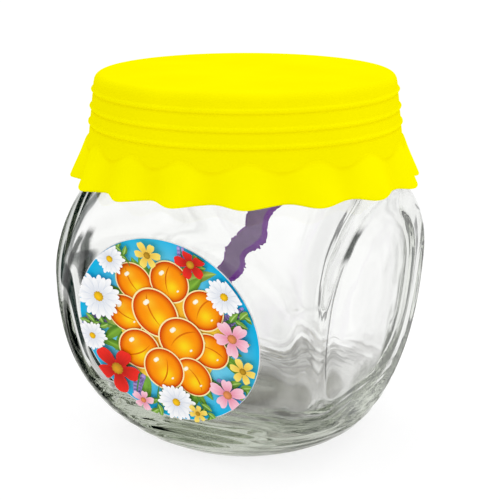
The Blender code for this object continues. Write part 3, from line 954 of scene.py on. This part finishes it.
def draw_label(label):
    """The whole print: fruit heaped in a ring of leaves, sprigs and flowers on a sky ground."""
    art = Print()
    art.disc(
        (0, 0), lambda turn: PRINT_EDGE + 0 * turn,
        lambda share, turn: shade((0.30, 0.80, 0.95), label.sky, share**1.5 + 0.1 * np.sin(3 * turn)),
        rings=8, steps=96,
    )
    leaf = np.asarray(label.leaf)
    for k in range(30):
        around = 2 * math.pi * k / 30 + 0.12 * math.sin(5 * k)
        out = 0.50 + 0.12 * math.sin(2.3 * k)
        size = 0.34 + 0.08 * math.sin(3.1 * k + 1)
        art.strip(
            polar(out, around), around + 0.7 * math.sin(1.7 * k), size, 0.13 + 0.03 * math.sin(k), leaf * 0.5,
            (0.30, 0.62, 0.08) if k % 3 else (0.55, 0.75, 0.15), bend=0.5 * math.sin(2.9 * k), rise=0.2,
        )
    for around, out in ((0.25, 0.55), (1.15, 0.58), (2.05, 0.56), (3.05, 0.60), (4.05, 0.55), (5.45, 0.58)):
        sprig(art, polar(out, around), around + 0.2, 0.42, label)
    art.disc(
        (0.0, 0.02), lambda turn: 0.60 + 0.04 * np.sin(5 * turn) + 0.03 * np.sin(3 * turn + 1),
        lambda share, turn: shade((0.95, 0.30, 0.0), (1.0, 0.72, 0.06), share + 0.15 * np.sin(4 * turn)),
        rings=6, steps=72,
    )
    for k in range(14):
        around = 2 * math.pi * k / 14 + 0.2 * math.sin(4 * k)
        art.strip(
            polar(0.52, around), around + 0.6 * math.sin(2.1 * k), 0.30, 0.11, (0.02, 0.12, 0.01),
            (0.30, 0.58, 0.06), bend=0.6 * math.sin(1.3 * k), rise=0.2,
        )
    for x, y, size, turned in FRUIT_HEAP:
        fruit(art, (x, y), size, turned, label)
    for x, y, heading, reach in LEAF_SPRAYS:
        leaves(art, (x, y), heading, reach)
    for x, y, size, turned in DAISIES:
        daisy(art, (x, y), size, turned)
    flowers = (
        (RED_FLOWERS, 5, 0.06, np.asarray(label.red) * 0.30, label.red, (0.75, 0.35, 0.02)),
        (PINK_FLOWERS, 5, 0.16, (0.75, 0.12, 0.26), shade(label.pink, (1, 1, 1), 0.45), (0.85, 0.30, 0.10)),
        (YELLOW_FLOWERS, 6, 0.08, (0.80, 0.40, 0.02), (0.98, 0.78, 0.16), (0.55, 0.30, 0.02)),
    )
    for places, petals, notch, deep, pale, heart in flowers:
        for x, y, size, turned in places:
            blossom(art, (x, y), size, petals, notch, deep, pale, heart, turned)
    return art


def label_frame(label, lean):
    """The label's middle, its right, its up and its outward direction."""
    out = Vector((0.0, -math.cos(lean), -math.sin(lean)))
    up = Vector((0.0, -math.sin(lean), math.cos(lean)))
    right = Vector((1.0, 0.0, 0.0))
    centre = (LABEL_LOW + LABEL_HIGH) / 2
    return Vector((label.offset, centre.y, centre.z)), right, up, out


def printed():
    """The printed face, in the colours that the print's points hold."""
    surface, tree, shader = new_material("printed_label")
    tone = node(tree, "ShaderNodeVertexColor", layer_name="Tone").outputs["Color"]
    dress(tree, shader, Base_Color=tone, Roughness=0.38, Specular_IOR_Level=0.05)
    return surface


def paper():
    """The label's plain paper edge and back."""
    surface, tree, shader = new_material("label_paper")
    dress(tree, shader, Base_Color=(0.88, 0.89, 0.90), Roughness=0.7)
    return surface


class JAR_OT_label(bpy.types.Operator):
    """Builds the round label: a paper disc and the print's layers on its front"""

    bl_idname = "jar_with_spoon.label"
    bl_label = "Label"

    def execute(self, context):
        label = context.scene.jar_label
        middle, right, up, out = label_frame(label, context.scene.jar_glass.label_lean)
        back, front = -LABEL_SUNK, -LABEL_SUNK + label.paper
        turns = [2 * math.pi * k / LABEL_AROUND for k in range(LABEL_AROUND)]
        points = [
            middle + (right * math.cos(turn) + up * math.sin(turn)) * label.radius + out * depth
            for depth in (back, front)
            for turn in turns
        ]
        disc = mesh_object("label_paper", points, capped_faces(2, LABEL_AROUND), smooth=False)
        disc.data.materials.append(paper())
        art = draw_label(label)
        places = [
            middle + (right * x + up * y) * label.radius + out * (front + level * label.layer)
            for x, y, level in art.points
        ]
        picture = mesh_object("label_print", places, [face[::-1] for face in art.faces], smooth=False)
        layer = picture.data.color_attributes.new("Tone", "FLOAT_COLOR", "POINT")
        tones = np.concatenate([np.array(art.tones), np.ones((len(art.tones), 1))], 1)
        layer.data.foreach_set("color", tones.astype(np.float32).ravel())
        picture.data.materials.append(printed())
        for thing in (disc, picture):
            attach(thing, BODY)
            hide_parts("label")
        return {"FINISHED"}


def aim(thing, place, target):
    thing.location = place
    thing.rotation_mode = "QUATERNION"
    thing.rotation_quaternion = (Vector(target) - Vector(place)).to_track_quat("-Z", "Y")


def with_card(tree, azimuth, elevation, tone, card):
    """The tone with one soft-edged card put over it."""
    left, right, low, high, soft, colour_of_card = card
    inside = 1.0
    for value, near, far in ((azimuth, left, right), (elevation, low, high)):
        for edge, fade in ((near, soft), (far, -soft)):
            step = smooth_step(tree, value, math.radians(edge - fade), math.radians(edge + fade))
            inside = sums(tree, "MULTIPLY", inside, step)
    return blended(tree, inside, tone, colour_of_card)


def surround(stage):
    """The studio: a white room for the floor and plastic, and for glass a table, a backdrop and cards."""
    world = bpy.data.worlds.new("studio")
    world.use_nodes = True
    tree = world.node_tree
    tree.nodes.clear()
    way = node(tree, "ShaderNodeTexCoord").outputs["Generated"]
    a = stage.azimuth
    behind = along(tree, way, (-math.sin(a), math.cos(a), 0.0))
    aside = along(tree, way, (-math.cos(a), -math.sin(a), 0.0))
    rise = along(tree, way, (0.0, 0.0, 1.0))
    azimuth = sums(tree, "ARCTAN2", aside, behind)
    elevation = sums(tree, "ARCSINE", rise)

    height = wired(tree, "ShaderNodeMapRange", (elevation, -math.pi / 2, math.pi / 2)).outputs[0]
    table = ramp(tree, height, [((degrees + 90) / 180, tone) for degrees, tone in TABLE_TONES])
    clouds = node(tree, "ShaderNodeTexNoise", Vector=way, Scale=5.0, Detail=2.0).outputs["Fac"]
    cloud_share = sums(tree, "MULTIPLY", smooth_step(tree, clouds, 0.35, 0.62), stage.clouds)
    tone = blended(tree, cloud_share, table, (1.25, 1.25, 1.25))
    for card in CARDS:
        tone = with_card(tree, azimuth, elevation, tone, card)

    sky = sums(tree, "MAXIMUM", rise, 0.0)
    room = sums(tree, "MULTIPLY_ADD", sky, stage.zenith - stage.horizon, stage.horizon)
    room = sums(tree, "ADD", room, sums(tree, "MULTIPLY", aside, -stage.side_light))
    grey = wired(tree, "ShaderNodeCombineColor", (room, room, room)).outputs[0]

    path = node(tree, "ShaderNodeLightPath").outputs
    lit = blended(tree, sums(tree, "MINIMUM", path["Diffuse Depth"], 1.0), tone, grey)
    lit = blended(tree, path["Is Camera Ray"], lit, (1.0, 1.0, 1.0))
    glow = node(tree, "ShaderNodeBackground", Color=lit, Strength=1.0)
    out = node(tree, "ShaderNodeOutputWorld")
    tree.links.new(glow.outputs[0], out.inputs["Surface"])
    return world


def floor_surface(stage):
    """A white floor that lights itself in part, so that shadows stay pale."""
    surface, tree, shader = new_material("floor_white")
    white = 1.06 - stage.floor_glow
    dress(tree, shader, Base_Color=(white, white, white), Roughness=0.9, Specular_IOR_Level=0.0)
    dress(tree, shader, Emission_Color=(1.0, 1.0, 1.0), Emission_Strength=stage.floor_glow)
    return surface


class JAR_OT_stage(bpy.types.Operator):
    """Builds the white floor, the studio light and the camera at the photograph's angle"""

    bl_idname = "jar_with_spoon.stage"
    bl_label = "Stage"

    def execute(self, context):
        scene = context.scene
        stage = scene.jar_stage
        s = stage.floor_size
        corners = [(-s, -s, 0), (s, -s, 0), (s, s, 0), (-s, s, 0)]
        floor = mesh_object("floor", corners, [(0, 1, 2, 3)], smooth=False)
        floor.location.z = -0.02 * MM
        floor.data.materials.append(floor_surface(stage))
        floor.visible_transmission = floor.visible_glossy = False
        scene.world = surround(stage)
        scene.view_settings.view_transform = "Standard"
        toward = Vector((math.sin(stage.azimuth), -math.cos(stage.azimuth), 0.0))
        aside = Vector((math.cos(stage.azimuth), math.sin(stage.azimuth), 0.0))
        light = bpy.data.lights.new("key", "AREA")
        light.shape = "SQUARE"
        light.size = 0.6
        light.energy = 0.8
        lamp = bpy.data.objects.new("key", light)
        scene.collection.objects.link(lamp)
        aim(lamp, toward * 0.5 - aside * 1.1 + Vector((0, 0, 1.3)), (0, 0, 0.05))
        camera = bpy.data.cameras.new("camera")
        camera.sensor_width = 36.0
        camera.lens = stage.focal_pixels / PHOTO_PIXELS * camera.sensor_width
        camera.shift_x = (PHOTO_PIXELS / 2 - AXIS_PIXEL_X) / PHOTO_PIXELS
        camera.clip_start = 0.01
        viewer = bpy.data.objects.new("camera", camera)
        scene.collection.objects.link(viewer)
        viewer.location = toward * stage.distance + Vector((0, 0, stage.height))
        viewer.rotation_euler = (math.pi / 2 - stage.pitch, 0.0, stage.azimuth)
        scene.camera = viewer
        paths = scene.cycles
        paths.max_bounces = stage.bounces + 8
        paths.glossy_bounces = paths.transmission_bounces = stage.bounces
        return {"FINISHED"}


class JAR_PT_panel(bpy.types.Panel):
    """Lists the jar's pieces and their settings"""

    bl_idname = "JAR_PT_panel"
    bl_label = "Glass Jar with Spoon"
    bl_space_type = "VIEW_3D"
    bl_region_type = "UI"
    bl_category = "Jar"

    def draw(self, context):
        for operator, name in PIECES:
            box = self.layout.box()
            box.operator(operator.bl_idname)
            settings = getattr(context.scene, name)
            for item in settings.bl_rna.properties:
                if item.identifier not in ("rna_type", "name"):
                    box.prop(settings, item.identifier)


SETTINGS = {
    "jar_glass": GlassSettings,
    "jar_lid": LidSettings,
    "jar_spoon": SpoonSettings,
    "jar_label": LabelSettings,
    "jar_stage": StageSettings,
}
PIECES = (
    (JAR_OT_glass, "jar_glass"),
    (JAR_OT_lid, "jar_lid"),
    (JAR_OT_spoon, "jar_spoon"),
    (JAR_OT_label, "jar_label"),
    (JAR_OT_stage, "jar_stage"),
)
CLASSES = (*SETTINGS.values(), *(operator for operator, name in PIECES), JAR_PT_panel)


def register():
    for item in CLASSES:
        bpy.utils.register_class(item)
    for name, group in SETTINGS.items():
        setattr(bpy.types.Scene, name, bpy.props.PointerProperty(type=group))


def unregister():
    for name in SETTINGS:
        delattr(bpy.types.Scene, name)
    for item in reversed(CLASSES):
        bpy.utils.unregister_class(item)


def main():
    register()
    bpy.ops.jar_with_spoon.glass()
    bpy.ops.jar_with_spoon.lid()
    bpy.ops.jar_with_spoon.spoon()
    bpy.ops.jar_with_spoon.label()
    bpy.ops.jar_with_spoon.stage()


if __name__ == "__main__":
    main()
